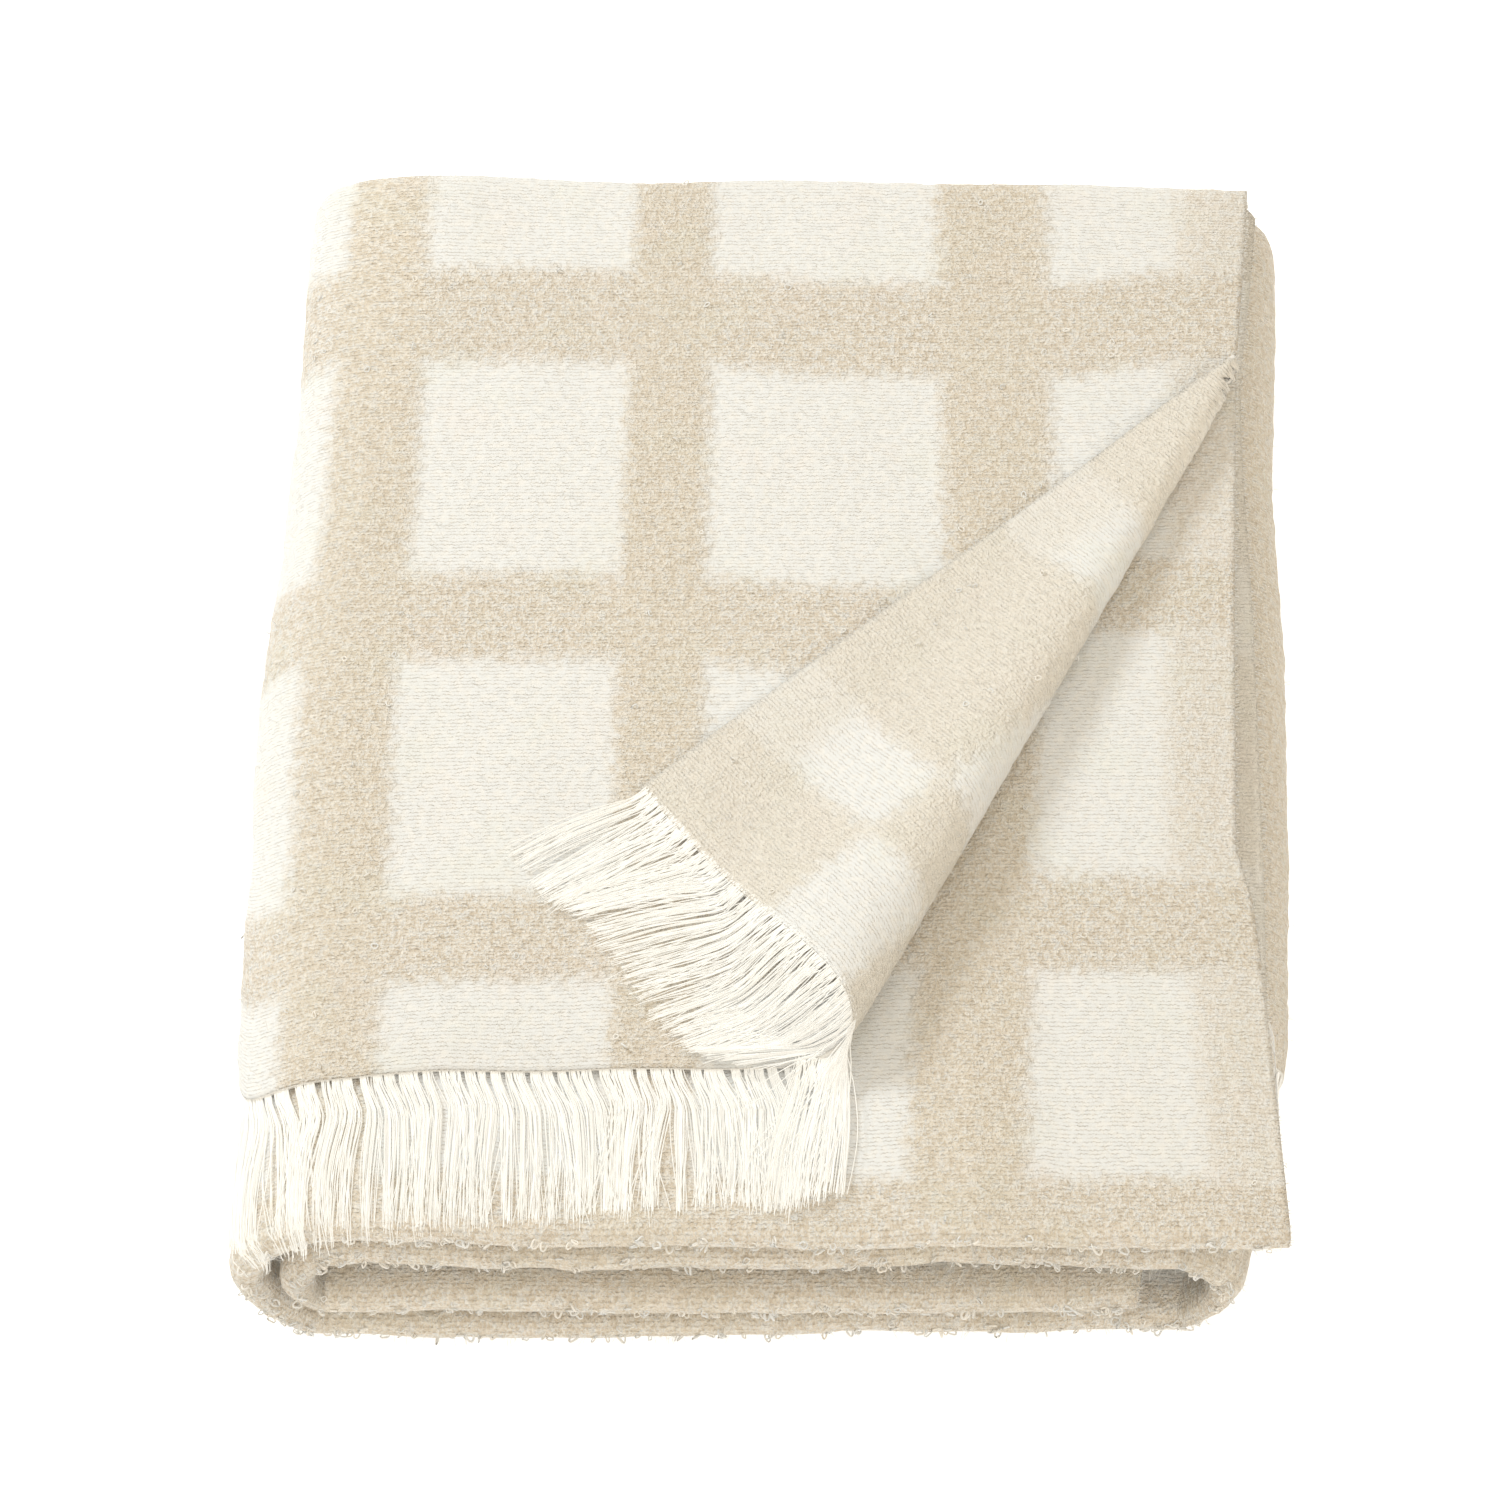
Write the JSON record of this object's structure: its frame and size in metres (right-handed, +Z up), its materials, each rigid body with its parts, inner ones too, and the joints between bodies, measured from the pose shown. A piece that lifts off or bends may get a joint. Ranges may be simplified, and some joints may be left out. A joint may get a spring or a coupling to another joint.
{
  "type": "folded throw blanket",
  "caption": "Fringed, check-woven throw blanket folded into a flat stack, with one front corner of its top sheet rolled back over itself.",
  "frame": {"origin": "centre of the folded stack's box, on the surface it rests on", "axes": "+Z up, -Y towards the visible fringe and the front folds, +X towards the selvedges of the stack"},
  "size_m": [0.352, 0.405, 0.0956],
  "materials": {
    "woven_cloth": "lofty woven cloth with boucle bands, matt",
    "fringe_strands": "silky cut strands, soft sheen"
  },
  "bodies": {
    "root": {"top_panel": "woven_cloth", "turned_corner": "woven_cloth", "upper_layer": "woven_cloth", "second_layer": "woven_cloth", "third_layer": "woven_cloth", "bottom_layer": "woven_cloth", "left_outer_fold": "woven_cloth", "left_inner_fold": "woven_cloth", "right_outer_fold": "woven_cloth", "front_fringe": "fringe_strands", "corner_fringe": "fringe_strands", "left_outer_fringe": "fringe_strands", "underside_fringe": "fringe_strands", "right_outer_fringe": "fringe_strands", "second_layer_fringe": "fringe_strands", "left_inner_fringe": "fringe_strands", "third_layer_fringe": "fringe_strands", "hidden_fringe_upper_layer": "fringe_strands", "hidden_fringe_left_outer": "fringe_strands", "hidden_fringe_bottom_layer": "fringe_strands", "hidden_fringe_right_outer": "fringe_strands", "hidden_fringe_second_layer": "fringe_strands", "hidden_fringe_left_inner": "fringe_strands", "hidden_fringe_third_layer": "fringe_strands"}
  },
  "joints": []
}
